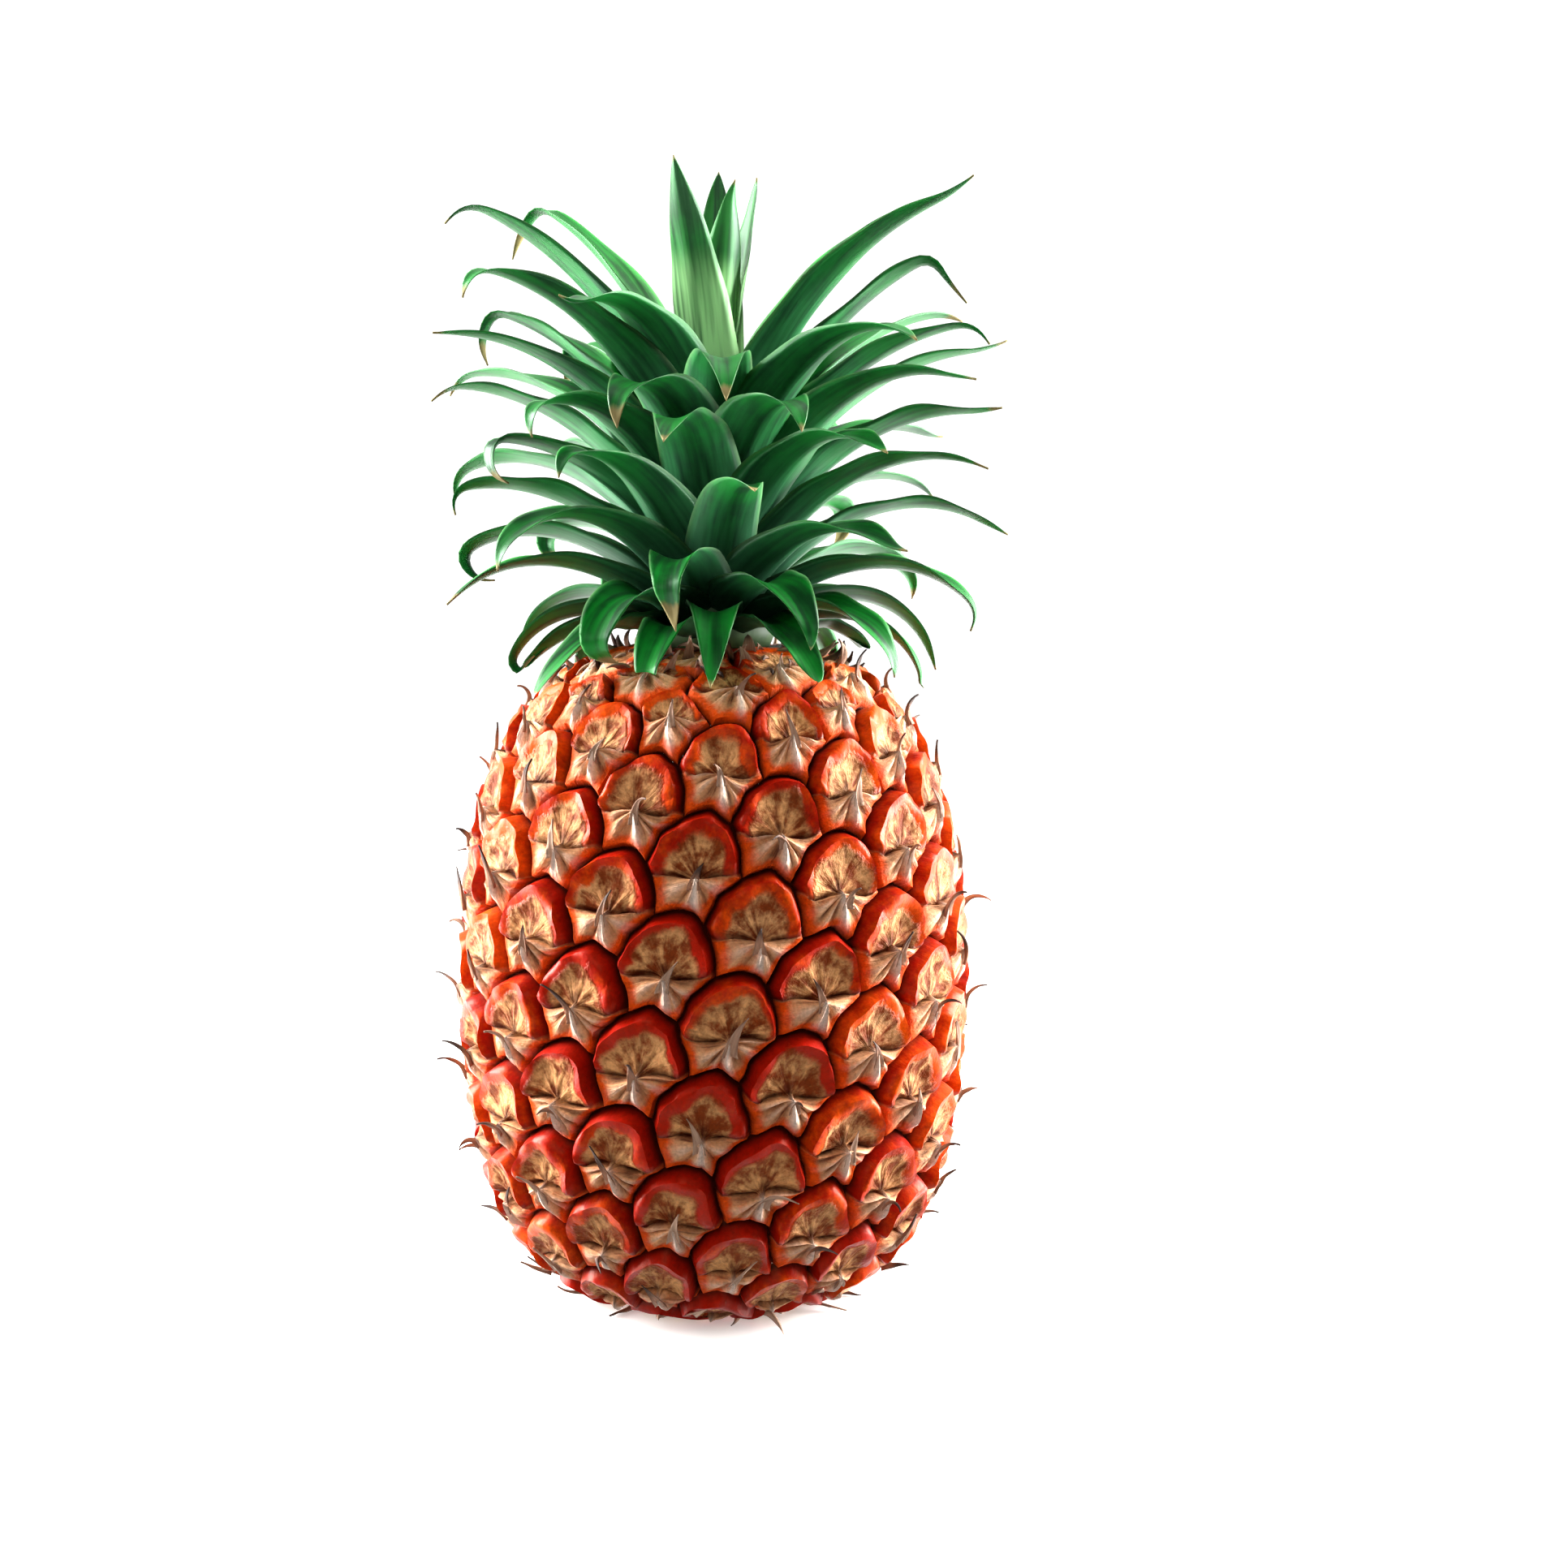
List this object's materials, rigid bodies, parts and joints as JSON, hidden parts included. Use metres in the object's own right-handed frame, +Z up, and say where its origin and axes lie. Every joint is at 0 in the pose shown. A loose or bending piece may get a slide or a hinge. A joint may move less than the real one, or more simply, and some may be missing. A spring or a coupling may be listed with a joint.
{
  "type": "pineapple",
  "caption": "Whole pineapple standing on its trimmed base: a barrel of spiny eyes in spirals, under a crown of arching leaves.",
  "frame": {"origin": "middle of the cut stalk's face, flush with the trimmed base that the fruit stands on", "axes": "+Z up along the fruit's axis to the crown, -Y towards the side that the picture shows"},
  "size_m": [0.1447, 0.1466, 0.2783],
  "materials": {
    "rind": "waxy orange rind with tan bracts, satin",
    "crown_leaf": "smooth deep green leaf, satin to glossy",
    "cut_stalk": "dry cut fibre, matte"
  },
  "bodies": {
    "root": {"fruit": "rind", "crown": "crown_leaf", "cut_stalk": "cut_stalk"}
  },
  "joints": []
}
